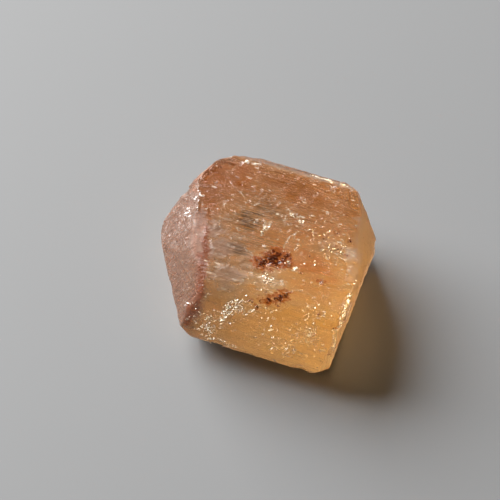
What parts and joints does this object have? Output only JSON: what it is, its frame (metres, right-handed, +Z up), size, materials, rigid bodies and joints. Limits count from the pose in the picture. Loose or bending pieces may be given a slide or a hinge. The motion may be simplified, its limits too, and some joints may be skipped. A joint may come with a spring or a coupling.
{
  "type": "imperial topaz crystal specimen",
  "caption": "Rough stubby prismatic topaz crystal, striated along its length, terminated at one end and cleaved at the other, resting on a flat break.",
  "frame": {"origin": "on the ground, under the middle of the bounding box", "axes": "+X along the crystal's c axis towards the cleaved end, +Y towards the high back edge, +Z up from the flat break it rests on"},
  "size_m": [0.0152, 0.0134, 0.0082],
  "materials": {
    "topaz": "translucent sherry-orange crystal, finely striated and lightly worn, with satin lustre"
  },
  "bodies": {
    "root": {"topaz_crystal": "topaz"}
  },
  "joints": []
}
